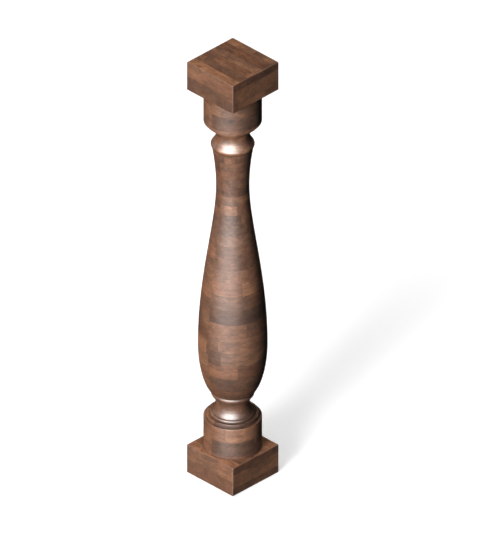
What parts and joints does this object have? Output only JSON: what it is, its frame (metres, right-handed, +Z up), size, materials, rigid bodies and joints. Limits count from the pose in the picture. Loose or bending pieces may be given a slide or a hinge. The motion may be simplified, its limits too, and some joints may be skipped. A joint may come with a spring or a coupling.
{
  "type": "wooden baluster",
  "caption": "Turned wooden vase baluster with square end blocks, for standing in a row between a bottom rail and a handrail.",
  "frame": {"origin": "middle of the lower block's underside", "axes": "+Z up along the turning axis, +X and +Y square to the faces of the end blocks"},
  "size_m": [0.107, 0.107, 0.745],
  "materials": {
    "walnut": "semi-gloss lacquer over glued-up walnut-brown strips"
  },
  "bodies": {
    "root": {"baluster": "walnut"}
  },
  "joints": []
}
